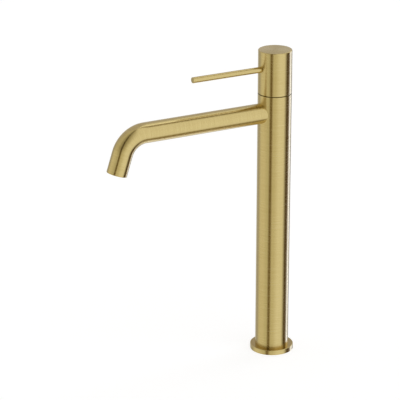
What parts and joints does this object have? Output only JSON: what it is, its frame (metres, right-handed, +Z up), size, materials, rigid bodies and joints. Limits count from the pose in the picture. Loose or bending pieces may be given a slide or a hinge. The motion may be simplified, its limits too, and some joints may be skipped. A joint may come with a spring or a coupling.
{
  "type": "tall basin mixer faucet",
  "caption": "Tall single-lever basin mixer with a slim round column, a bent round spout and a thin rod lever on a tilting and turning cap, in brushed brass.",
  "frame": {"origin": "on the axis of the column in the plane of the deck, midway between the two stud holes", "axes": "+Z up along the column, -Y towards the user along the spout and the lever, -X the hot side"},
  "size_m": [0.0444, 0.2076, 0.3205],
  "materials": {
    "brushed_brass": "satin brushed round the tube",
    "plain_brass": "machined",
    "seal_rubber": "matte",
    "cartridge_plastic": "moulded",
    "outlet_plastic": "moulded",
    "disc_ceramic": "lapped",
    "stainless_steel": "drawn"
  },
  "bodies": {
    "column": {"column_tube": "brushed_brass", "base_flange": "brushed_brass", "spout_tube": "brushed_brass", "dome_ring": "brushed_brass", "base_block": "plain_brass", "cold_riser_tube": "plain_brass", "hot_riser_tube": "plain_brass", "valve_body": "plain_brass", "cartridge_nut": "plain_brass", "aerator_housing": "plain_brass", "base_gasket": "seal_rubber", "riser_seals": "seal_rubber", "valve_seals": "seal_rubber", "port_seals": "seal_rubber", "aerator_seal": "seal_rubber", "cartridge_housing": "cartridge_plastic", "cartridge_base": "cartridge_plastic", "aerator_grille": "outlet_plastic", "flow_regulator": "outlet_plastic", "fixed_disc": "disc_ceramic", "aerator_screen": "stainless_steel"},
    "turret": {"turret": "cartridge_plastic", "pivot_pin": "stainless_steel"},
    "valve_disc": {"moving_disc": "disc_ceramic", "disc_carrier": "cartridge_plastic"},
    "handle": {"spindle": "stainless_steel", "handle_cap": "brushed_brass", "lever_pin": "brushed_brass", "grub_screw": "stainless_steel"}
  },
  "joints": [
    {"name": "temperature_turn", "type": "hinge", "parent": "column", "child": "turret", "pos_m": [0, 0, 0.2653], "axis": [0, 0, 1], "range_deg": [-50, 50]},
    {"name": "lever_lift", "type": "hinge", "parent": "turret", "child": "handle", "pos_m": [0, 0, 0.2653], "axis": [-1, 0, 0], "range_deg": [0, 22]},
    {"name": "disc_slide", "type": "slide", "parent": "turret", "child": "valve_disc", "axis": [0, -1, 0], "range_m": [0, 0.0036]}
  ],
  "couplings": [
    {"joint": "disc_slide", "follows": "lever_lift", "m_per_rad": 0.009}
  ]
}
